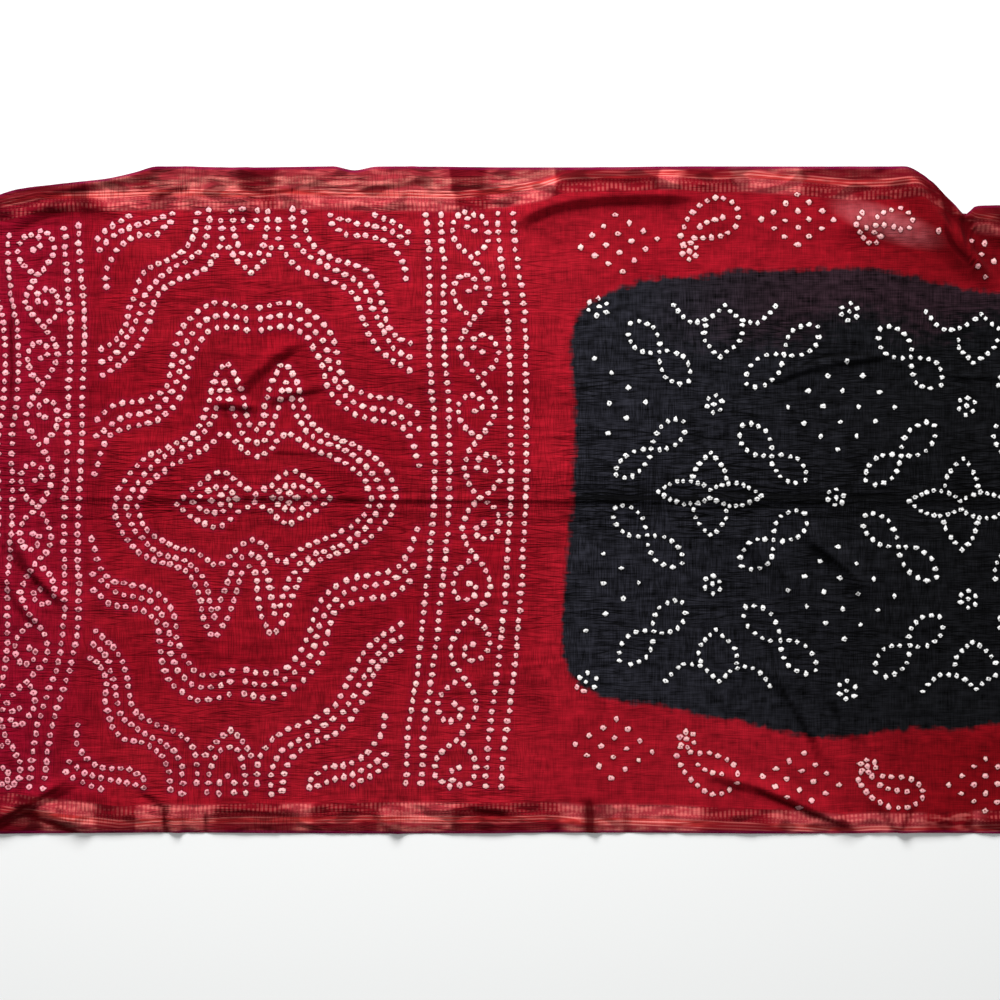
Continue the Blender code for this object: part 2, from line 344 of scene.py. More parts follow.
# The scroll of each band: a vine that swings between the rows, with a curl at every turn
SCROLL_MIDDLE = 220
SCROLL_PITCH = 59
SCROLL_SWING = 15.5
SCROLL_TURNS = 4
SCROLL_GAP = 8.6
VINE_POINTS = 9
CURL = ((0, 0), (12, 8), (19, 18), (20, 29), (15, 39), (6, 42), (-2, 37), (-2, 29), (5, 26))
LAST_TURN = ((0, 0), (12, 11), (18, 24), (15, 37), (4, 44))

# The repeat of the dark field
FIELD_MIDDLE = (210.0, 2.5)
FIELD_REPEAT = 251
FIELD_ROWS = 187
LEAF_ROW = 0.245
LEAF_LEAN = 41
LEAF_LENGTH = 43
LEAF_WIDTH = 26
LEAF_GAP = 8.2
LOZENGE_SIDE = 4
FIELD_LOZENGE = (52, 44)
FLOWER_PETALS = 6
FLOWER_RADIUS = 8.4
FLOWER_TURN = 23
SIDE_LEAF = ((0, 4), (12, 10), (26, 12.5), (40, 8), (51, 0))
PETAL = ((15, 10), (16.5, 21), (10, 34), (0, 44))
WING = ((0, 1), (10, -9), (22, -15), (34, -15.5), (44, -8), (51, 1))
BUD = ((18, -19), (19, -30), (12, -40), (0, -50))

# How deep in the black dye a motif's knots have to lie to show
PLAIN_DEPTH = 3
RIM_DEPTH = -9

# The paisleys and lozenges on the red ground beside the dark field
PAISLEY_HEAD = 7.6
PAISLEY_BODY = (
    (-7, 7), (-10, 15), (-2, 31.6), (8, 44), (26, 54), (43, 49), (51, 36), (43, 21),
    (24, 14), (4, 13),
)
PAISLEY_VEIN = ((10.5, 24.6), (17.5, 29.4), (25.4, 32), (34.6, 33.3))
PAISLEY_GAP = 9.4
RED_LOZENGE = (38, 28)
FOLDED_PAISLEY = (
    Chain(7.4, ((-9, 24), (-15, 13), (-12, 6), (-4, -5), (4, -6), (9, 0), (3, 4))),
    Chain(8.6, ((5, 19), (13, 23), (24, 27), (33, 27), (40, 19), (39, 11), (31, 7), (22, 9),
                (14, 11), (4, 11), (-5, 9))),
)
UPPER_PAISLEYS = (Motif(187, 245, 0, 0.95, 0.98),)
FOLDED_PLACE = Motif(365, 259, 0, 1.0, 1.0)
LOWER_PAISLEYS = (Motif(184, -236, 0, 0.98, 1.0), Motif(362, -262, 3, 1.05, 0.8))
CORNER_KNOTS = ((430, 264), (464, 255), (477, 253), (474, 242), (486, 235), (468, 228), (477, 218))
RED_LOZENGES = (
    Motif(117, 253, 7, 1.0, 1.0),
    Motif(293, 276, 0, 0.93, 0.88),
    Motif(112, -244, -5, 1.0, 1.04),
    Motif(296, -276, -6, 1.0, 0.96),
    Motif(478, -280, 0, 0.94, 0.92),
)

SHIFT_COLUMNS = {
    # The right band of the panel
    -66: (Shift(282, -9, 0), Shift(203, -7, 0), Shift(157, -4, 0), Shift(78, 1, 0),
        Shift(0, 2, 0), Shift(-60, -3, 0), Shift(-119, -10, 0), Shift(-158, -15, 0),
        Shift(-222, -26, 0), Shift(-276, -28, -4)),
    23: (Shift(282, -13, 2), Shift(246, -11, 0), Shift(187, -2, 0), Shift(98, 1, 0),
        Shift(0, 2, 0), Shift(-69, -1, 0), Shift(-109, -6, 0), Shift(-168, -12, 0),
        Shift(-227, -22, -4), Shift(-276, -24, -8)),
    # The left band
    -424: (Shift(261, 3, -22), Shift(206, 10, -12), Shift(147, 10, -5), Shift(78, 6, -7),
        Shift(0, 3, -9), Shift(-138, 2, -2), Shift(-217, -23, 0), Shift(-281, -44, -5)),
    -429: (Shift(-79, 5, -2),),
    -414: (Shift(-107, 8, 0),),
    -492: (Shift(261, 8, -22), Shift(147, 22, -8), Shift(0, 14, -11), Shift(-138, 8, -4),
        Shift(-276, -10, -3)),
    # The middle of the panel, and the ends of its waves, mounds and sprays
    -401: (Shift(-29, -1, -15),),
    -400: (Shift(-228, -32, -16),),
    -396: (Shift(-138, -9, -13),),
    -394: (Shift(150, 0, -2),),
    -385: (Shift(-66, -1, -16),),
    -384: (Shift(88, 1, -6), Shift(265, -5, 7)),
    -376: (Shift(-276, -30, -11),),
    -375: (Shift(-20, -3, -6),),
    -369: (Shift(-178, -18, -6),),
    -347: (Shift(-45, -6, -10),),
    -345: (Shift(-212, -28, -12), Shift(-85, -4, -12)),
    -316: (Shift(-108, -9, -8),),
    -310: (Shift(-142, -12, -11),),
    -305: (Shift(-237, -31, -10),),
    -304: (Shift(-60, -5, -7),),
    -288: (Shift(-277, -38, -8),),
    -287: (Shift(-172, -15, -11),),
    -285: (Shift(-90, -10, -2),),
    -270: (Shift(-252, -32, -3),),
    -268: (Shift(-128, -10, -2),),
    -255: (Shift(-174, -20, -9),),
    -241: (Shift(285, -6, 0), Shift(224, -4, 0), Shift(132, 0, 0), Shift(0, 2, 0),
        Shift(-60, -4, 0), Shift(-131, -10, 0), Shift(-197, -20, -6), Shift(-237, -26, -10),
        Shift(-286, -25, -10)),
    -167: (Shift(-276, -26, -10), Shift(-138, -12, 0), Shift(265, -4, 1)),
    -98: (Shift(226, 4, 1),),
    # The dark field
    85: (Shift(96, 5, -2), Shift(-91, 2, 12), Shift(190, 20, 0), Shift(-185, 7, 8)),
    147: (Shift(142, 10, 3), Shift(-137, 4, 9), Shift(-43, -4, 8)),
    210: (Shift(190, 13, 2), Shift(2, -3, 5), Shift(-185, 7, 7), Shift(96, 2, 0),
        Shift(-91, -1, 10)),
    256: (Shift(68, -8, -9),),
    273: (Shift(142, 9, 1), Shift(-137, 3, -1), Shift(-43, -4, 5)),
    336: (Shift(96, 0, -5), Shift(-91, 0, 0), Shift(2, -6, 0), Shift(190, 9, -5),
        Shift(-185, 7, -3)),
    398: (Shift(142, 8, -3), Shift(-137, 4, -4), Shift(-43, -11, 0), Shift(48, -4, -4)),
    420: (Shift(-115, 8, -8),),
    461: (Shift(190, 14, -8), Shift(2, -9, -9), Shift(-185, 10, 0), Shift(96, -3, -3),
        Shift(-91, -3, -8)),
}

# How wide a patch of the cloth each shift draws with it, and how soon it dies away
SHIFT_REACH = 38.0
SHIFT_HOLD = 0.05


# The lie of the cloth

def smooth_curve(points, x):
    """A curve through the edge points that never overshoots them, in metres."""
    xs = np.array([point.along for point in points]) * MM
    ys = np.array([point.inset for point in points]) * MM
    steps = np.diff(xs)
    slopes = np.diff(ys) / steps
    same_way = slopes[:-1] * slopes[1:] > 0
    total = np.where(same_way, slopes[:-1] + slopes[1:], 1.0)
    inner = np.where(same_way, 2 * slopes[:-1] * slopes[1:] / total, 0.0)
    tangents = np.concatenate(([slopes[0]], inner, [slopes[-1]]))
    span = np.clip(np.searchsorted(xs, x) - 1, 0, len(steps) - 1)
    share = (x - xs[span]) / steps[span]
    ease = share * share * (3 - 2 * share)
    lead = share * (1 - share) ** 2 * tangents[span]
    trail = share * share * (share - 1) * tangents[span + 1]
    return ys[span] + ease * (ys[span + 1] - ys[span]) + steps[span] * (lead + trail)


def upper_edge(x):
    """The upper edge's Y at each x."""
    return CLOTH_WIDTH / 2 - smooth_curve(UPPER_EDGE, x)


def lower_edge(x):
    """The lower edge's Y at each x."""
    return -CLOTH_WIDTH / 2 + smooth_curve(LOWER_EDGE, x)


def crest_line(fold, count):
    """Points along a fold's crest, on the one parabola through its three places."""
    start, middle, end = (np.array(place) * MM for place in (fold.start, fold.middle, fold.end))
    pull = 2 * middle - (start + end) / 2
    share = np.linspace(0, 1, count)[:, None]
    return (1 - share) ** 2 * start + 2 * share * (1 - share) * pull + share ** 2 * end


def beside_fold(fold, x, y):
    """How far each place is from a fold's crest, whether it is on its left side, and how
    much of the fold there is: 1 along its middle and 0 at its ends."""
    crest = crest_line(fold, CREST_POINTS)
    starts = crest[:-1]
    runs = np.diff(crest, axis=0)
    spans = np.hypot(runs[:, 0], runs[:, 1])
    nearest = np.full(x.shape, np.inf)
    side = np.zeros(x.shape)
    along = np.zeros(x.shape)
    walked = 0.0
    for start, run, span in zip(starts, runs, spans):
        from_x = x - start[0]
        from_y = y - start[1]
        share = np.clip((from_x * run[0] + from_y * run[1]) / span ** 2, 0, 1)
        gap = np.hypot(from_x - share * run[0], from_y - share * run[1])
        closer = gap < nearest
        nearest = np.where(closer, gap, nearest)
        side = np.where(closer, run[0] * from_y - run[1] * from_x, side)
        along = np.where(closer, walked + share * span, along)
        walked += span
    ends = np.clip(np.minimum(along, walked - along) / (FADE_SHARE * walked), 0, 1)
    return nearest, side > 0, ends * ends * (3 - 2 * ends)


def near_fold(fold, x, y, reach):
    """Which places lie in the box round a fold's crest, with this much to spare."""
    crest = crest_line(fold, CREST_POINTS)
    low = crest.min(axis=0) - reach
    high = crest.max(axis=0) + reach
    return (x > low[0]) & (x < high[0]) & (y > low[1]) & (y < high[1])


def fold_height(fold, x, y):
    """How much one fold lifts the cloth at each place."""
    nearest, on_left, share = beside_fold(fold, x, y)
    foot = np.where(on_left, fold.left, fold.right) * MM
    across = 0.5 + 0.5 * np.cos(math.pi * np.clip(nearest / foot, 0, 1))
    return fold.rise * MM * across * share


def wave_height(x, y):
    """The broad waves, level with the surface where they would dip below it."""
    height = np.full(x.shape, WAVE_FLOAT * MM)
    for wave in WAVES:
        turns = x / (wave.length_x * MM) + y / (wave.length_y * MM) + wave.phase
        height = height + wave.rise * MM * np.sin(2 * math.pi * turns)
    return np.maximum(height, 0.0)


def underside(x, y):
    """The height of the solid cloth's underside above the surface."""
    height = wave_height(x, y)
    for fold in FOLDS:
        near = near_fold(fold, x, y, max(fold.left, fold.right) * MM)
        height[near] += fold_height(fold, x[near], y[near])
    return height


# Creases and crinkles

NOISE_SIZE = 512

# Chance values that bend the creases, and the creases and patches themselves
TUCK_PATCH = Grain(21, 17, 23)
LONG_BEND = Grain(80, 45, 11)
SHORT_BEND = Grain(26, 18, 12)
SIDE_BEND = Grain(30, 40, 13)
LONG_CREASE = Grain(70, 7.0, 14)
SHORT_CREASE = Grain(34, 4.6, 15)
UPRIGHT_CREASE = Grain(7.5, 30, 16)
CREASED_PATCH = Grain(85, 60, 17)
BORDER_SLANT = Grain(55, 30, 18)
BORDER_STREAK = Grain(38, 6.5, 19)
BORDER_PLEAT = Grain(15, 34, 20)


def fold_tuck(fold, x, y):
    """Where the cloth tucks in at the foot of a fold's steep side, from 0 to 1."""
    nearest, on_left, share = beside_fold(fold, x, y)
    steep_left = fold.left < fold.right
    foot = min(fold.left, fold.right) * MM
    away = (nearest - foot) / (TUCK_WIDTH * MM)
    return np.where(on_left == steep_left, np.exp(-away * away), 0.0) * share


def tucks(x, y):
    """The tucks of all folds, now deep and now shallow, and the sharp creases between them;
    1 where they are deepest."""
    deepest = np.zeros(x.shape)
    for fold in FOLDS:
        if fold.rise < LEAST_TUCKED:
            continue
        near = near_fold(fold, x, y, (min(fold.left, fold.right) + 3 * TUCK_WIDTH) * MM)
        deepest[near] = np.maximum(deepest[near], fold_tuck(fold, x[near], y[near]))
    deepest = deepest * (0.42 + 0.36 * soft_noise(x / MM, y / MM, TUCK_PATCH))
    for crease in CREASES:
        near = near_fold(crease, x, y, max(crease.left, crease.right) * MM)
        depth = -fold_height(crease, x[near], y[near]) / (DEEPEST_CREASE * MM)
        deepest[near] = np.maximum(deepest[near], depth)
    return deepest


def soft_noise(x, y, grain):
    """Soft chance heights from -1 to 1 at places in mm."""
    table = np.random.default_rng(grain.seed).uniform(-1, 1, (NOISE_SIZE, NOISE_SIZE))
    x = x / grain.along
    y = y / grain.across
    column = np.floor(x).astype(int)
    row = np.floor(y).astype(int)
    share_x = x - column
    share_y = y - row
    share_x = share_x * share_x * (3 - 2 * share_x)
    share_y = share_y * share_y * (3 - 2 * share_y)
    here, right = column % NOISE_SIZE, (column + 1) % NOISE_SIZE
    low, high = row % NOISE_SIZE, (row + 1) % NOISE_SIZE
    below = table[here, low] * (1 - share_x) + table[right, low] * share_x
    above = table[here, high] * (1 - share_x) + table[right, high] * share_x
    return below * (1 - share_y) + above * share_y


def crinkles(x, y):
    """Fine creases, mostly along the cloth, from 0 to 1. Places are in mm."""
    bent_y = y + 6 * soft_noise(x, y, LONG_BEND) + 1.4 * soft_noise(x, y, SHORT_BEND)
    bent_x = x + 6 * soft_noise(x, y, SIDE_BEND)
    long_crease = np.abs(soft_noise(bent_x, bent_y, LONG_CREASE))
    short_crease = np.abs(soft_noise(bent_x, bent_y, SHORT_CREASE))
    upright = np.abs(soft_noise(bent_x, bent_y, UPRIGHT_CREASE))
    patch = 0.5 + 0.5 * soft_noise(x, y, CREASED_PATCH)
    creased = 0.60 * long_crease + 0.34 * short_crease
    near_middle = np.exp(-((y - MIDDLE_CREASE) / CREASE_REACH) ** 2)
    calm = 0.5 * np.clip(x / 70, 0, 1) * np.clip((np.abs(y) - 150) / 70, 0, 1)
    level_share = (0.45 + 0.6 * patch + 0.6 * near_middle) * (1 - calm)
    return creased * level_share + 0.30 * upright * (1 - patch)


def border_crumple(x, y, depth):
    """Folds pinched across the woven borders, from 0 to 1. Places are in mm."""
    inside = np.clip(depth / 6, 0, 1)
    slant = soft_noise(x, y, BORDER_SLANT)
    streaks = np.abs(soft_noise(x + 12 * slant, y + 5 * slant, BORDER_STREAK))
    pleats = np.abs(soft_noise(x + 6 * slant, y, BORDER_PLEAT))
    return inside * (0.75 * streaks + 0.45 * pleats)


# Knots

def flowing_line(places):
    """Close points along a smooth line through the places."""
    knots = np.array(places, float)
    before = 2 * knots[:1] - knots[1:2]
    after = 2 * knots[-1:] - knots[-2:-1]
    padded = np.vstack((before, knots, after))
    share = np.linspace(0, 1, 24, endpoint=False)[:, None]
    parts = []
    for a, b, c, d in zip(padded, padded[1:], padded[2:], padded[3:]):
        bend = 2 * b + (c - a) * share + (2 * a - 5 * b + 4 * c - d) * share ** 2
        parts.append(0.5 * (bend + (3 * b - a - 3 * c + d) * share ** 3))
    parts.append(knots[-1:])
    return np.vstack(parts)


def tie(places, gap):
    """Knots at even gaps along a smooth line through the places."""
    line = flowing_line(places)
    walked = np.concatenate(([0.0], np.cumsum(np.hypot(*np.diff(line, axis=0).T))))
    count = max(round(walked[-1] / gap), 1) + 1
    stops = np.linspace(0, walked[-1], count)
    return np.column_stack([np.interp(stops, walked, line[:, axis]) for axis in (0, 1)])


def mirrored(knots, ways):
    """The knots in each of the mirrored places, where a way is a pair of signs."""
    return np.vstack([knots * way for way in ways])


def turned(knots, degrees):
    """The knots turned about the origin."""
    angle = math.radians(degrees)
    cos, sin = math.cos(angle), math.sin(angle)
    return knots @ np.array(((cos, sin), (-sin, cos)))


FOUR_WAYS = ((1, 1), (-1, 1), (1, -1), (-1, -1))


def scroll():
    """The vine and its curls in one quarter of the panel."""
    parts = []
    share = np.linspace(0, 1, VINE_POINTS)
    for turn in range(SCROLL_TURNS):
        side = -1 if turn % 2 == 0 else 1
        foot = np.array((SCROLL_MIDDLE, turn * SCROLL_PITCH))
        swing = side * SCROLL_SWING * np.sin(math.pi * share)
        parts.append(foot + tie(np.column_stack((swing, share * SCROLL_PITCH)), SCROLL_GAP))
        parts.append(foot + tie(CURL, SCROLL_GAP) * (-side, 1))
    top = np.array((SCROLL_MIDDLE, SCROLL_TURNS * SCROLL_PITCH))
    parts.append(top + tie(LAST_TURN, SCROLL_GAP) * (-1, 1))
    parts.append(top + tie(CURL, SCROLL_GAP))
    return np.vstack(parts)


def panel_knots():
    """The end panel with its two bands."""
    quarter = np.vstack([tie(chain.places, chain.gap) for chain in PANEL_CHAINS] + [scroll()])
    return mirrored(quarter, FOUR_WAYS) + PANEL_MIDDLE


def flower(radius):
    """A ring of knots round one in the middle."""
    angles = np.arange(FLOWER_PETALS) * 2 * math.pi / FLOWER_PETALS + math.radians(FLOWER_TURN)
    ring = np.column_stack((np.cos(angles), np.sin(angles))) * radius
    return np.vstack(((0, 0), ring))


def lozenge(half_width, half_height):
    """Sixteen knots in a lozenge."""
    steps = np.linspace(-1, 1, LOZENGE_SIDE)
    one_way, other_way = (grid.ravel() for grid in np.meshgrid(steps, steps))
    along = (one_way + other_way) * half_width / 2
    across = (one_way - other_way) * half_height / 2
    return np.column_stack((along, across))


def double_leaf(lean):
    """Two outlined leaves that meet at their narrow ends."""
    side = (
        (0, 0),
        (0.20 * LEAF_LENGTH, 0.30 * LEAF_WIDTH),
        (0.45 * LEAF_LENGTH, 0.49 * LEAF_WIDTH),
        (0.72 * LEAF_LENGTH, 0.45 * LEAF_WIDTH),
        (0.90 * LEAF_LENGTH, 0.28 * LEAF_WIDTH),
        (LEAF_LENGTH, 0.04 * LEAF_WIDTH),
    )
    return turned(mirrored(tie(side, LEAF_GAP), FOUR_WAYS), lean)


def cross():
    """A flower with two petals and two long leaves."""
    quarter = np.vstack((tie(SIDE_LEAF, 7.4), tie(PETAL, 8.0)))
    return mirrored(quarter, FOUR_WAYS)


def half_cross(way):
    """The half of a cross that the edge of the field leaves."""
    half = np.vstack((tie(WING, 8.0), tie(BUD, 7.6)))
    return mirrored(half, ((1, way), (-1, way)))


def half_lozenge(way):
    """The part of a lozenge that the left edge of the field leaves."""
    whole = lozenge(*FIELD_LOZENGE)
    tip = (np.abs(whole[:, 0]) < 1) & (whole[:, 1] * way > FIELD_LOZENGE[1] / 2)
    return whole[(whole[:, 0] > 1) | tip]


def field_column(x):
    """One repeat of the dark field: each group of knots with its least depth in the dye."""
    between = x + FIELD_REPEAT / 2
    first = x < 0
    groups = [
        (PLAIN_DEPTH, cross() + (x, 0)),
        (PLAIN_DEPTH, half_cross(1) + (x, FIELD_ROWS)),
        (PLAIN_DEPTH, half_cross(-1) + (x, -FIELD_ROWS)),
    ]
    if not first:
        groups.append((PLAIN_DEPTH, flower(FLOWER_RADIUS) + (between, 0)))
    for row in (-1, 1):
        half_row = row * FIELD_ROWS / 2
        groups.append((PLAIN_DEPTH, flower(FLOWER_RADIUS) + (x, half_row)))
        groups.append((RIM_DEPTH, flower(FLOWER_RADIUS) + (between, row * FIELD_ROWS)))
        diamond = half_lozenge(row) if first else lozenge(*FIELD_LOZENGE)
        groups.append((PLAIN_DEPTH, diamond + (between, half_row)))
        for side in (-1, 1):
            at_x = x + side * FIELD_REPEAT / 4
            lean = LEAF_LEAN * side * row
            near_y = row * FIELD_ROWS * LEAF_ROW
            far_y = row * FIELD_ROWS * (1 - LEAF_ROW)
            groups.append((PLAIN_DEPTH, double_leaf(-lean) + (at_x, near_y)))
            groups.append((PLAIN_DEPTH, double_leaf(lean) + (at_x, far_y)))
    return groups


def field_knots():
    """The dark field's repeat, as far as the black dye reaches."""
    parts = []
    for column in (-1, 0, 1):
        for depth, knots in field_column(column * FIELD_REPEAT):
            placed = drawn(knots + FIELD_MIDDLE)
            parts.append(placed[depth_in_field(placed) > depth])
    return np.vstack(parts)


def paisley(way):
    """A round head with a bent body and a vein."""
    parts = [flower(PAISLEY_HEAD), tie(PAISLEY_BODY, PAISLEY_GAP), tie(PAISLEY_VEIN, PAISLEY_GAP)]
    return np.vstack(parts) * (1, way)


def red_ground_knots():
    """The paisleys and lozenges above and below the dark field."""
    parts = []
    for way, places in ((1, UPPER_PAISLEYS), (-1, LOWER_PAISLEYS)):
        parts += [laid(paisley(way), place) for place in places]
    parts += [laid(tie(chain.places, chain.gap), FOLDED_PLACE) for chain in FOLDED_PAISLEY]
    parts += [laid(lozenge(*RED_LOZENGE), place) for place in RED_LOZENGES]
    parts.append(CORNER_KNOTS)
    return np.vstack(parts)


def laid(knots, place):
    """The knots of a motif where it lies on the cloth."""
    return turned(knots * (place.width, place.height), place.turn) + (place.x, place.y)


def drawn(knots):
    """Where the crinkles have drawn the knots of the even pattern."""
    shifts = [(x, shift) for x, column in SHIFT_COLUMNS.items() for shift in column]
    places = np.array([(x, shift.y) for x, shift in shifts], float)
    pulls = np.array([(shift.shift_x, shift.shift_y) for _, shift in shifts], float)
    far = np.hypot(*(knots[:, None, :] - places[None, :, :]).transpose(2, 0, 1))
    weight = np.exp(-0.5 * (far / SHIFT_REACH) ** 2)
    return knots + weight @ pulls / (weight.sum(axis=1) + SHIFT_HOLD)[:, None]


def spaced(knots):
    """The knots without those that lie on another."""
    kept = []
    for knot in knots:
        clear = all(math.dist(knot, other) > KNOT_GAP for other in kept)
        if clear:
            kept.append(knot)
    return np.array(kept)


def all_knots():
    """Every knot on the cloth, each a little off its even place, in mm."""
    knots = np.vstack((spaced(drawn(panel_knots())), spaced(field_knots()), red_ground_knots()))
    strayed = knots + np.random.default_rng(21).normal(0, KNOT_STRAY, knots.shape)
    on_cloth = np.abs(strayed[:, 0]) < CLOTH_LENGTH / 2 / MM
    return strayed[on_cloth]


# Dyed areas

def depth_in_field(places):
    """How far inside the black dye's outline each place lies, in mm."""
    line = flowing_line(FIELD_OUTLINE)[::4]
    starts, runs = line[:-1], np.diff(line, axis=0)
    nearest = np.full(len(places), np.inf)
    crossings = np.zeros(len(places), int)
    for start, run in zip(starts, runs):
        away = places - start
        share = np.clip(away @ run / (run @ run), 0, 1)
        nearest = np.minimum(nearest, np.hypot(*(away - share[:, None] * run).T))
        passes = (away[:, 1] >= 0) != (away[:, 1] - run[1] >= 0)
        at_x = np.where(passes, start[0] + away[:, 1] / (run[1] or 1) * run[0], -np.inf)
        crossings += passes & (at_x < places[:, 0])
    return np.where(crossings % 2 == 1, nearest, -nearest)


def border_depth(places):
    """How far outwards from a woven border's inner edge each place lies, in mm."""
    x, y = places.T
    upper = np.interp(x, *np.array(UPPER_BORDER, float).T)
    lower = np.interp(x, *np.array(LOWER_BORDER, float).T)
    return np.maximum(y - upper, lower - y)


# The sheet

def sheet_grid():
    """The sheet's points from above, in mm, by column and then row."""
    x = np.linspace(-CLOTH_LENGTH / 2, CLOTH_LENGTH / 2, COLUMNS)
    share = np.linspace(0, 1, ROWS)[None, :]
    low = lower_edge(x)[:, None]
    high = upper_edge(x)[:, None]
    y = low + (high - low) * share
    return np.column_stack((np.repeat(x, ROWS), y.ravel())) / MM


def rim_distance(places):
    """How far each place lies from the sheet's rim, in mm."""
    x, y = places.T
    to_ends = CLOTH_LENGTH / 2 / MM - np.abs(x)
    to_upper = upper_edge(x * MM) / MM - y
    to_lower = y - lower_edge(x * MM) / MM
    return np.minimum(np.minimum(to_ends, to_upper), to_lower)


def sheet_heights(places, tuck, depth, rim, knot_tree):
    """The crinkled sheet's height at each place, in mm."""
    x, y = places.T
    height = underside(x * MM, y * MM) / MM + SHEET_LIFT + CRINKLE_DEPTH * crinkles(x, y)
    height = height + BORDER_CRUMPLE * border_crumple(x, y, depth)
    far = np.array([knot_tree.find((px, py, 0.0))[2] for px, py in places])
    pucker = 0.5 + 0.5 * np.cos(math.pi * np.clip(far / PUCKER_REACH, 0, 1))
    height = height + KNOT_PUCKER * pucker - TUCK_DEPTH * tuck
    lip = np.clip(1 - rim / LIP_REACH, 0, 1)
    return np.maximum(height - LIP_DEPTH * lip * lip, LEAST_HEIGHT)


def sheet_faces():
    """The four corners of each face."""
    column, row = np.meshgrid(np.arange(COLUMNS - 1), np.arange(ROWS - 1), indexing="ij")
    first = (column * ROWS + row).ravel()
    return np.column_stack((first, first + ROWS, first + ROWS + 1, first + 1))


def nearest_knots(centres, knots, tree):
    """The two knots nearest to each face's middle."""
    found = [tree.find_n((x, y, 0.0), 2) for x, y in centres]
    return np.array([[near[1], next_near[1]] for near, next_near in found])


def build_cloth():
    """The crinkled sheet, with what its finish needs to know at each corner."""
    knots = all_knots()
    tree = KDTree(len(knots))
    for index, (x, y) in enumerate(knots):
        tree.insert((x, y, 0.0), index)
    tree.balance()
    places = sheet_grid()
    tuck = tucks(*(places.T * MM))
    depth = border_depth(places)
    rim = rim_distance(places)
    heights = sheet_heights(places, tuck, depth, rim, tree)
    points = np.column_stack((places, heights)) * MM
    faces = sheet_faces()
    mesh = bpy.data.meshes.new("bandhani_cloth")
    mesh.from_pydata(points.tolist(), [], faces.tolist())
    mesh.shade_smooth()
    add_point_values(mesh, "field_depth", depth_in_field(places))
    add_point_values(mesh, "border_depth", depth)
    add_point_values(mesh, "rim_distance", rim)
    add_point_values(mesh, "tuck", tuck)
    for name, grain in CHANCE_VALUES.items():
        add_point_values(mesh, name, soft_noise(*places.T, grain))
    near = nearest_knots(places[faces].mean(axis=1), knots, tree)
    chances = np.random.default_rng(22).uniform(0, 1, len(knots))
    corner_places = places[faces.ravel()]
    for name, picked in (("nearest_knot", near[:, 0]), ("next_knot", near[:, 1])):
        of_corner = np.repeat(picked, 4)
        from_knot = corner_places - knots[of_corner]
        values = np.column_stack((from_knot, chances[of_corner]))
        layer = mesh.attributes.new(name, "FLOAT_VECTOR", "CORNER")
        layer.data.foreach_set("vector", values.astype(np.float32).ravel())
    spread = mesh.uv_layers.new(name="OFBake")
    half_size = np.array((CLOTH_LENGTH, CLOTH_WIDTH)) / MM / 2
    share = corner_places / half_size * 0.5 * 0.998 + 0.5
    spread.data.foreach_set("uv", share.astype(np.float32).ravel())
    cloth = bpy.data.objects.new("bandhani_cloth", mesh)
    bpy.context.scene.collection.objects.link(cloth)
    return cloth


# Chance values from -1 to 1 kept at the sheet's points
CHANCE_VALUES = {
    "broad_dye": Grain(70, 55, 41),
    "crinkled": Grain(38, 28, 42),
    "bend_up": Grain(30, 14, 43),
    "bend_along": Grain(16, 26, 44),
    "lit_pleats": Grain(34, 80, 45),
    "border_ripple": Grain(42, 60, 46),
}


def add_point_values(mesh, name, values):
    """One number at each point, for the finish."""
    layer = mesh.attributes.new(name, "FLOAT", "POINT")
    layer.data.foreach_set("value", values.astype(np.float32))


# Finishes

class Value:
    """What comes out of one socket of a finish. Arithmetic on it adds Math nodes."""

    def __init__(self, finish, socket):
        self.finish = finish
        self.socket = socket

    def math(self, operation, *values):
        return self.finish.node("ShaderNodeMath", {"operation": operation}, values)

    def __add__(self, other):
        return self.math("ADD", self, other)

    def __radd__(self, other):
        return self.math("ADD", other, self)

    def __sub__(self, other):
        return self.math("SUBTRACT", self, other)

    def __rsub__(self, other):
        return self.math("SUBTRACT", other, self)

    def __mul__(self, other):
        return self.math("MULTIPLY", self, other)

    def __rmul__(self, other):
        return self.math("MULTIPLY", other, self)

    def __truediv__(self, other):
        return self.math("DIVIDE", self, other)

    def __pow__(self, other):
        return self.math("POWER", self, other)

    def at_least(self, other):
        return self.math("MAXIMUM", self, other)

    def at_most(self, other):
        return self.math("MINIMUM", self, other)

    def size(self):
        return self.math("ABSOLUTE", self)

    def length(self):
        """The length of a vector."""
        return self.finish.node("ShaderNodeVectorMath", {"operation": "LENGTH"}, (self,), "Value")

    def part(self):
        """What is left over a whole number."""
        return self.math("FRACT", self)

    def wave(self):
        return self.math("SINE", self)

    def rise(self, low, high):
        """From 0 at low to 1 at high, softly; high may be the lower of the two."""
        settings = {"interpolation_type": "SMOOTHSTEP"}
        if high > low:
            values = {"Value": self, "From Min": low, "From Max": high}
        else:
            values = {"Value": 1 - self, "From Min": 1 - low, "From Max": 1 - high}
        return self.finish.node("ShaderNodeMapRange", settings, values)


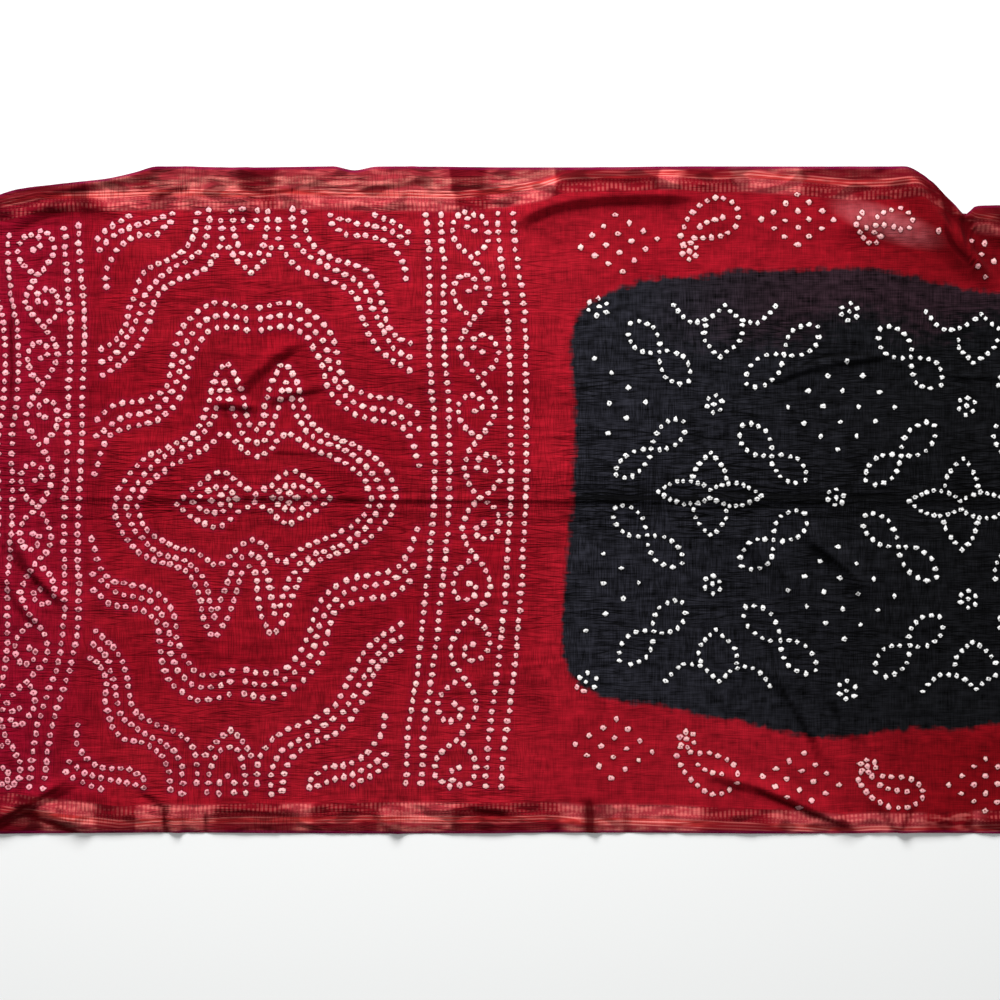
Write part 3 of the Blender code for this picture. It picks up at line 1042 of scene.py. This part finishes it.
class Finish:
    """A material and its nodes."""

    def __init__(self, name):
        self.material = bpy.data.materials.new(name)
        self.material.use_nodes = True
        self.tree = self.material.node_tree
        self.shader = self.tree.nodes["Principled BSDF"]

    def node(self, kind, settings=None, values=(), output=0):
        """A node of this kind, with its settings made before its sockets are filled."""
        made = self.tree.nodes.new(kind)
        for name, setting in (settings or {}).items():
            setattr(made, name, setting)
        pairs = values.items() if isinstance(values, dict) else enumerate(values)
        for name, value in pairs:
            self.fill(made.inputs[name], value)
        return Value(self, made.outputs[output])

    def fill(self, socket, value):
        """Link a value to a socket, or set the socket to a number or a colour."""
        if isinstance(value, Value):
            self.tree.links.new(value.socket, socket)
        elif isinstance(value, tuple) and len(value) == 3 and socket.type == "RGBA":
            socket.default_value = (*value, 1.0)
        else:
            socket.default_value = value

    def mix(self, share, first, second):
        """A colour between two, by a share from 0 to 1."""
        return self.node("ShaderNodeMix", {"data_type": "RGBA"}, {0: share, 6: first, 7: second}, 2)

    def tint(self, colour, amount):
        """A colour made lighter or darker by an amount near 1."""
        grey = self.node("ShaderNodeCombineColor", None, (amount, amount, amount))
        settings = {"data_type": "RGBA", "blend_type": "MULTIPLY"}
        return self.node("ShaderNodeMix", settings, {0: 1.0, 6: colour, 7: grey}, 2)

    def blend(self, share, first, second):
        """A number between two, by a share from 0 to 1."""
        return self.node("ShaderNodeMix", {"data_type": "FLOAT"}, {0: share, 2: first, 3: second})

    def stored(self, name):
        """A number stored on the sheet."""
        return self.node("ShaderNodeAttribute", {"attribute_name": name}, (), "Fac")

    def stored_vector(self, name):
        """Three numbers stored on the sheet."""
        return self.node("ShaderNodeAttribute", {"attribute_name": name}, (), "Vector")

    def blend_vectors(self, share, first, second):
        """A vector between two, by a share from 0 to 1."""
        return self.node("ShaderNodeMix", {"data_type": "VECTOR"}, {0: share, 4: first, 5: second}, 1)

    def three(self, found):
        """The three numbers of a vector."""
        split = self.node("ShaderNodeSeparateXYZ", None, (found,))
        outputs = split.socket.node.outputs
        return [Value(self, outputs[axis]) for axis in range(3)]

    def noise(self, x_mm, y_mm, grain):
        """Soft chance values about 0.5, in a place of the noise of their own."""
        x = x_mm / grain.along + grain.seed * 61.7
        y = y_mm / grain.across + grain.seed * 23.3
        place = self.node("ShaderNodeCombineXYZ", None, (x, y, 0.0))
        settings = {"noise_dimensions": "2D"}
        values = {"Vector": place, "Scale": 1.0, "Detail": grain.detail}
        return self.node("ShaderNodeTexNoise", settings, values, "Fac")


RED_DEEP = (0.218, 0.0024, 0.0088)
RED_BRIGHT = (0.328, 0.0074, 0.0165)
RED_PURPLE = (0.215, 0.0020, 0.0185)
RED_END = (0.140, 0.0012, 0.0028)
RED_AT_KNOT = (0.262, 0.0040, 0.0250)
SHEEN_PINK = (0.440, 0.118, 0.135)
RED_SHADE = (0.062, 0.0001, 0.0016)
BLACK_SHADE = (0.0012, 0.0012, 0.0014)
BLACK_DYE = (0.0045, 0.0046, 0.0056)
INK_DYE = (0.0120, 0.0120, 0.0165)
PLUM_DYE = (0.0210, 0.0085, 0.0130)
KNOT_ON_RED = (0.960, 0.580, 0.545)
KNOT_PINK = (0.900, 0.345, 0.410)
KNOT_ON_BLACK = (0.940, 0.935, 0.925)
PINHOLE = (0.160, 0.008, 0.016)
SALMON = (0.660, 0.150, 0.135)
THREAD_PINK = (0.740, 0.190, 0.170)
ROSE = (0.480, 0.060, 0.075)
ORANGE_RED = (0.420, 0.026, 0.022)
MAROON = (0.105, 0.002, 0.006)
PALE_GOLD = (0.560, 0.215, 0.165)
HEM_PURPLE = (0.150, 0.002, 0.040)

# Chance values of the dyes, the threads, the finest creases, the wear and the painted shade in the
# border's folds
MOTTLE = Grain(11, 7, 2, 1.0)
WEFT_SLUB = Grain(22, 0.8, 4)
WARP_SLUB = Grain(0.8, 22, 5)
BLEED_ALONG = Grain(8, 18, 6, 2.0)
BLEED_ACROSS = Grain(16, 5, 7, 1.0)
RAGGED_KNOT = Grain(2.2, 2.2, 3)
LONG_LINE = Grain(52, 4.4, 9)
SHORT_LINE = Grain(19, 2.5, 10)
UPRIGHT_LINE = Grain(3.1, 30, 11)
WORN = Grain(20, 5, 34, 1.0)
BORDER_FOLD_SHADE = Grain(26, 11, 32)
THREAD_WEAR = Grain(64, 2.6, 35)

# The stripes of the woven border, from its inner edge outwards
WHOLE_BORDER = Stripe(-0.5, 90)
COMB = Stripe(0.2, 8.6, 0.8)
CHECKS = Stripe(8.8, 12.6)
BRIGHT_THREADS = Stripe(12.2, 21.2, 0.5)
ORANGE_STRIPE = Stripe(13.2, 19.4, 0.6)
OUTER_GROUND = Stripe(20.6, 90)
GOLD_CHECKS = Stripe(21.5, 33.0, 2)
TURNED_IN = Stripe(3, 10, 2)

# The pitch of the comb, the checks and the threads, and of the weave, in mm
COMB_PITCH = 4.3
CHECK_PITCH = 3.6
CHECK_RISE = 2.7
THREAD_PITCH = 3.0
WEAVE_PITCH = 0.85

# The least radius of a knot's undyed ring, and how much it varies, in mm
KNOT_RADIUS = 2.08
KNOT_SPREAD = 0.90

# The painted sheen patch: its middle, its half length and half width, and its lean in degrees
SHEEN_MIDDLE = (381, 272)
SHEEN_HALF = (68, 19)
SHEEN_LEAN = -20


def knot_marks(finish, ragged, swell, shrink, hollow):
    """How far each place is in a knot's undyed ring, its pinhole, its dark rim and the
    pink dye round it, and how far up the little peak that the tie left."""
    one = finish.stored_vector("nearest_knot")
    other = finish.stored_vector("next_knot")
    other_nearer = one.length().math("GREATER_THAN", one.length(), other.length())
    x, y, chance = finish.three(finish.blend_vectors(other_nearer, one, other))
    drawn_in = (chance * 19.7).part() * 0.36
    wide_x = x * (1.20 - drawn_in)
    wide_y = y * (0.92 + drawn_in)
    far = (wide_x * wide_x + wide_y * wide_y) ** 0.5
    lozenge_far = (wide_x.size() + wide_y.size()) * 0.80
    reach = finish.blend((chance * 7.31).part() * 0.5, far, lozenge_far) + ragged
    radius = (KNOT_RADIUS + (chance * 13.7).part() * KNOT_SPREAD + swell) * shrink
    ring = (radius - reach).rise(-0.5, 0.5)
    pin_x = x - ((chance * 29.3).part() - 0.5) * 1.2
    pin_y = y - ((chance * 41.9).part() - 0.5) * 1.2
    pin_far = (pin_x * pin_x + pin_y * pin_y) ** 0.5
    pin_size = (chance * 5.17).part() * 0.95 + hollow
    pin = (pin_size - pin_far).rise(-0.4, 0.4)
    rim = (radius + 1.1 - reach).rise(-0.7, 0.7)
    halo = (radius + 3.4 - reach).rise(-1.8, 1.8)
    peak = (1 - far / 4.0).at_least(0.0)
    return ring, pin, rim, halo, peak, chance


def within(depth, stripe):
    """Where the depth is inside a stripe."""
    starts = depth.rise(stripe.low - stripe.soft, stripe.low + stripe.soft)
    return starts * (1 - depth.rise(stripe.high - stripe.soft, stripe.high + stripe.soft))


def ticks(along, pitch, share):
    """Short marks at an even pitch, each covering a share of it."""
    return ((along / pitch).part() - 0.5).size().rise(share / 2 + 0.12, share / 2 - 0.12)


def woven_border(finish, ground, x_mm, y_mm, depth, rim_far):
    """The woven border's stripes, comb and checks over the ground, with painted light: brightest on
    the pleats that face the light, with painted shade in its folds and a painted highlight on its lit
    pleats."""
    # Which pleats of the border take the painted light
    lit = (finish.stored("lit_pleats") + finish.stored("bend_along") * 0.25).rise(-0.26, 0.04)
    worn = finish.noise(x_mm, y_mm, WORN)
    thread_worn = finish.noise(x_mm, depth, THREAD_WEAR).rise(0.36, 0.52)
    border_fold_shade = finish.noise(x_mm, y_mm, BORDER_FOLD_SHADE).rise(0.52, 0.70)
    depth = depth + finish.stored("border_ripple") * 2.0
    shown = x_mm.rise(424, 408).at_least(x_mm.rise(462, 470)) * x_mm.rise(-494, -478)
    # Painted light: the border's pattern shows more strongly on the pleats that face the light
    shown = shown * (0.30 + lit * 0.70)
    border = within(depth, WHOLE_BORDER)
    # Maroon border dye, thinner on the lit pleats: painted light
    colour = finish.mix(border * (0.55 - lit * 0.40), ground, MAROON)
    softly = within(depth, WHOLE_BORDER._replace(soft=2))
    # Painted highlight: rose on the lit pleats
    colour = finish.mix(softly * shown * lit * 0.48, colour, ROSE)
    comb = ticks(x_mm, COMB_PITCH, 0.5) * within(depth, COMB)
    colour = finish.mix(comb * worn.rise(0.32, 0.6) * (0.10 + shown * 0.50), colour, SALMON)
    checks = ticks(x_mm, CHECK_PITCH, 0.55) * ticks(depth, CHECK_RISE, 0.55)
    colour = finish.mix(checks * within(depth, CHECKS) * shown * 0.28, colour, SALMON)
    orange = within(depth, ORANGE_STRIPE) * (0.10 + shown * 0.70)
    colour = finish.mix(orange, colour, ORANGE_RED)
    threads = ticks(depth, THREAD_PITCH, 0.46) * within(depth, BRIGHT_THREADS)
    colour = finish.mix(threads * thread_worn * (0.14 + shown * 0.86), colour, THREAD_PINK)
    # Maroon outer ground, lighter on the lit pleats: painted light
    colour = finish.mix(within(depth, OUTER_GROUND) * (0.75 - lit * 0.45), colour, MAROON)
    gold = (checks * 0.35 + 0.30) * within(depth, GOLD_CHECKS) * worn.rise(0.26, 0.66)
    colour = finish.mix(gold * shown * 0.80, colour, PALE_GOLD)
    # Painted highlight: salmon on the lit pleats, patchy with the wear; the same mask lowers the
    # roughness there
    gloss_and_painted_highlight = worn.rise(0.46, 0.70) * lit * within(depth, Stripe(1.0, 60))
    colour = finish.mix(gloss_and_painted_highlight * 0.30, colour, SALMON)
    # Painted shade: a darker maroon band just inside the turned edge, less on the lit pleats
    turned_in = within(rim_far, TURNED_IN) * (1 - lit * 0.6) * within(depth, Stripe(8, 90))
    colour = finish.mix(turned_in * 0.70, colour, MAROON)
    # Painted shade in the border's folds, and patchy wear
    shade = (1.08 - border_fold_shade * 0.55) * (worn * 0.4 + 0.84)
    return finish.tint(colour, finish.blend(within(depth, Stripe(0, 90)), 1.0, shade)), gloss_and_painted_highlight


def painted_sheen_patch(x_mm, y_mm):
    """The pale painted sheen patch before the turned-in corner, 1 in its middle."""
    from_x = x_mm - SHEEN_MIDDLE[0]
    from_y = y_mm - SHEEN_MIDDLE[1]
    lean = math.radians(SHEEN_LEAN)
    along = (from_x * math.cos(lean) + from_y * math.sin(lean)) / SHEEN_HALF[0]
    across = (from_y * math.cos(lean) - from_x * math.sin(lean)) / SHEEN_HALF[1]
    return (along * along + across * across).rise(1.0, 0.0)


def crease_lines(finish, x_mm, y_mm):
    """Sharp little creases of the crinkled cotton, 1 in their depths, and their patches."""
    bent_y = y_mm + finish.stored("bend_up") * 1.2
    bent_x = x_mm + finish.stored("bend_along") * 0.7
    patches = finish.stored("crinkled")
    middle = 1 - ((y_mm - MIDDLE_CREASE) / 50).size().at_most(1.0)
    long_line = 1 - (finish.noise(x_mm, bent_y, LONG_LINE) - 0.5).size() * 9
    short_line = 1 - (finish.noise(x_mm, bent_y, SHORT_LINE) - 0.5).size() * 8
    upright_line = 1 - (finish.noise(bent_x, y_mm, UPRIGHT_LINE) - 0.5).size() * 9
    level = patches.rise(-0.50, 0.45) * 0.80 + middle * 0.70 + 0.06
    upright = patches.rise(0.25, -0.50) * 0.70
    lines = (long_line.at_least(0.0) + short_line.at_least(0.0) * 0.55) * level
    calm = x_mm.rise(0, 70) * y_mm.size().rise(150, 220) * 0.65
    return (lines + upright_line.at_least(0.0) * upright) * (1 - calm)


def dyed_cotton():
    """Crinkled cotton: red and black dye, undyed knots, woven borders, weave and wear, with painted
    shade in its creases, tucks and folds and painted light on its borders.
    """
    finish = Finish("dyed_cotton")
    place = finish.node("ShaderNodeTexCoord", None, (), "Object")
    x, y, _ = finish.three(place)
    x_mm = x * (1 / MM)
    y_mm = y * (1 / MM)
    field_depth = finish.stored("field_depth")
    border = finish.stored("border_depth")
    rim_far = finish.stored("rim_distance")
    tuck = finish.stored("tuck")

    broad = finish.stored("broad_dye")
    mottle = finish.noise(x_mm, y_mm, MOTTLE)
    slubs = (finish.noise(x_mm, y_mm, WEFT_SLUB) + finish.noise(x_mm, y_mm, WARP_SLUB)) * 0.5
    lines = crease_lines(finish, x_mm, y_mm)

    outer = y_mm.size().rise(140, 250)
    # Red brighter beside the dark field; the dip in the upper strip above the field is painted shade
    # of the broad fold there
    by_field = x_mm.rise(10, 60) * (0.86 - y_mm.rise(140, 200) * x_mm.rise(70, 140) * 0.60)
    in_panel = x_mm.rise(-410, -340) * x_mm.rise(60, 10) * outer
    in_panel = in_panel * (0.36 + x_mm.rise(-260, -120) * 0.30)
    red = finish.mix(broad * 0.26 + 0.26 + by_field * 0.59 + in_panel, RED_DEEP, RED_BRIGHT)
    red = finish.mix(x_mm.rise(-360, -490) * 0.55, red, RED_PURPLE)
    red = finish.mix(x_mm.rise(230, 470) * outer * 0.80, red, RED_END)
    # Painted soft light and shade of the wrinkles, from the stored bends, on both the red and the
    # black
    softly = finish.stored("bend_up") * 0.12 + finish.stored("bend_along") * 0.12
    red = finish.tint(red, mottle * 0.66 + slubs * 0.94 + softly + 0.15)
    ink = finish.mix(x_mm.rise(450, 60), BLACK_DYE, INK_DYE)
    plum = (y_mm + (mottle - 0.5) * 50 + broad * 22).rise(150, 205)
    black = finish.mix(plum * x_mm.rise(110, 330) * 0.65, ink, PLUM_DYE)
    black = finish.tint(black, slubs * 2.8 + mottle * 1.9 + softly - 1.20)

    bleed_along = (finish.noise(x_mm, y_mm, BLEED_ALONG) - 0.5) * 8.0
    bleed_across = (finish.noise(x_mm, y_mm, BLEED_ACROSS) - 0.5) * 7.0
    bleed = field_depth + bleed_along + bleed_across
    in_field = bleed.rise(-3.6, 3.0)
    ground = finish.mix(in_field, red, black)
    ground, gloss_and_painted_highlight = woven_border(finish, ground, x_mm, y_mm, border, rim_far)
    hem = rim_far.rise(3.4, 1.6) * border.rise(2, 6) * 0.75
    ground = finish.mix(hem, ground, HEM_PURPLE)
    # Painted sheen: a pale pink highlight on the fold before the turned-in corner
    ground = finish.mix(painted_sheen_patch(x_mm, y_mm) * (mottle * 0.5 + 0.15), ground, SHEEN_PINK)
    # Painted shade: the ground darkens towards a shade colour in the crease lines, in the tucks at
    # the feet of the folds, under the curled corner and along the middle crease
    painted_shade_colour = finish.mix(in_field, RED_SHADE, BLACK_SHADE)
    # Painted shade under the curled upper right corner
    corner = x_mm.rise(385, 465) * y_mm.rise(196, 240) * 0.46
    # Painted shade in a band along the pressed middle crease of the black field
    middle_crease_shade = (1 - (y_mm - MIDDLE_CREASE).size() / 13).at_least(0.0) * in_field * 0.36
    painted_shade_amount = (lines * (in_field * 0.34 + 0.50) + tuck * 0.84 + corner + middle_crease_shade).at_most(0.95)
    ground = finish.mix(painted_shade_amount, ground, painted_shade_colour)

    ragged = (finish.noise(x_mm, y_mm, RAGGED_KNOT) - 0.5) * 1.8
    shrink = 1 - in_field * 0.14
    hollow = x_mm.rise(-190, -290) * y_mm.rise(30, -80)
    pin_growth = hollow * 0.56 + x_mm.rise(-120, -380) * 0.18 + 0.04
    swell = x_mm.rise(120, -160) * 0.26
    ring, pin, rim, halo, peak, chance = knot_marks(finish, ragged, swell, shrink, pin_growth)
    rim = rim * (1 - ring)
    pin = pin * ring
    pinkness = mottle * 1.3 - 0.44 + x_mm.rise(-230, -440) * 0.42 + hollow * 0.26
    pinkness = (pinkness + (chance * 17.9).part() * 0.35).at_least(0.0).at_most(1.0)
    knot_red = finish.mix(pinkness, KNOT_ON_RED, KNOT_PINK)
    knot = finish.mix(in_field, knot_red, KNOT_ON_BLACK)
    # Knots darker in the crease lines and the tucks (painted shade), with the slubs, and towards the
    # right on the red
    knot_wear_and_crease_shade = lines.at_most(1.0) * 0.18 + slubs * 0.14 + x_mm.rise(0, 200) * (1 - in_field) * 0.14
    knot = finish.tint(knot, 1.00 + peak * 0.24 - knot_wear_and_crease_shade - tuck * 0.6)
    colour = finish.mix(halo * (1 - in_field) * x_mm.rise(120, -60) * 0.34, ground, RED_AT_KNOT)
    colour = finish.tint(colour, 1 - rim * (in_field * 0.25 + 0.55))
    colour = finish.mix(ring * 0.96, colour, knot)
    pinhole = finish.mix(in_field, PINHOLE, BLACK_DYE)
    colour = finish.mix(pin * 0.85, colour, pinhole)
    finish.fill(finish.shader.inputs["Base Color"], colour)

    roughness = 0.88 - gloss_and_painted_highlight * 0.30
    finish.fill(finish.shader.inputs["Roughness"], roughness)
    finish.shader.inputs["Specular IOR Level"].default_value = 0.035
    finish.shader.inputs["Sheen Weight"].default_value = 0.004
    finish.shader.inputs["Sheen Roughness"].default_value = 0.5

    warp = (x_mm * (2 * math.pi / WEAVE_PITCH)).wave()
    weft = (y_mm * (2 * math.pi / WEAVE_PITCH)).wave()
    weave = warp * weft * 0.03
    height = weave + slubs * 0.30 + peak * 0.85 - lines * 0.50 - tuck * 0.3
    bump = finish.node(
        "ShaderNodeBump", None, {"Strength": 1.0, "Distance": MM, "Height": height})
    finish.fill(finish.shader.inputs["Normal"], bump)
    return finish.material


def plain_floor():
    """A plain pale matt floor."""
    finish = Finish("pale_floor")
    finish.shader.inputs["Base Color"].default_value = (0.88, 0.89, 0.885, 1.0)
    finish.shader.inputs["Roughness"].default_value = 0.9
    finish.shader.inputs["Specular IOR Level"].default_value = 0.1
    return finish.material


# The studio

FLOOR_HALF = 6.0
FLOOR_DROP = 0.0004
VIEW_HEIGHT = 2.6
VIEW_WIDTH = 0.985
LIGHT_PLACE = (-0.25, 2.1, 1.45)
LIGHT_SIZE = 1.3
LIGHT_POWER = 105.0
SKY_STRENGTH = 0.42


def build_floor():
    """The floor that the cloth lies on."""
    corners = [(sx * FLOOR_HALF, sy * FLOOR_HALF, -FLOOR_DROP)
               for sx, sy in ((-1, -1), (1, -1), (1, 1), (-1, 1))]
    mesh = bpy.data.meshes.new("floor")
    mesh.from_pydata(corners, [], [(0, 1, 2, 3)])
    mesh.materials.append(plain_floor())
    floor = bpy.data.objects.new("floor", mesh)
    bpy.context.scene.collection.objects.link(floor)
    return floor


def light_scene():
    """One wide soft light from above the upper selvedge, and a pale sky."""
    lamp = bpy.data.lights.new("soft_light", "AREA")
    lamp.size = LIGHT_SIZE
    lamp.energy = LIGHT_POWER
    light = bpy.data.objects.new("soft_light", lamp)
    light.location = LIGHT_PLACE
    light.rotation_euler = (-Vector(LIGHT_PLACE)).to_track_quat("-Z", "Y").to_euler()
    bpy.context.scene.collection.objects.link(light)
    sky = bpy.data.worlds.new("pale_sky")
    sky.use_nodes = True
    sky.node_tree.nodes["Background"].inputs["Color"].default_value = (1.0, 1.0, 1.0, 1.0)
    sky.node_tree.nodes["Background"].inputs["Strength"].default_value = SKY_STRENGTH
    bpy.context.scene.world = sky
    bpy.context.scene.view_settings.view_transform = "Standard"


def place_camera():
    """A camera straight above, framing the cloth's length."""
    view = bpy.data.cameras.new("overhead")
    view.sensor_width = 36.0
    view.lens = view.sensor_width * VIEW_HEIGHT / VIEW_WIDTH
    camera = bpy.data.objects.new("overhead", view)
    camera.location = (0.0, 0.0, VIEW_HEIGHT)
    bpy.context.scene.collection.objects.link(camera)
    bpy.context.scene.camera = camera


floor = build_floor()
cloth = build_cloth()
cloth.data.materials.append(dyed_cotton())
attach(cloth, "root")
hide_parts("cloth")
light_scene()
place_camera()
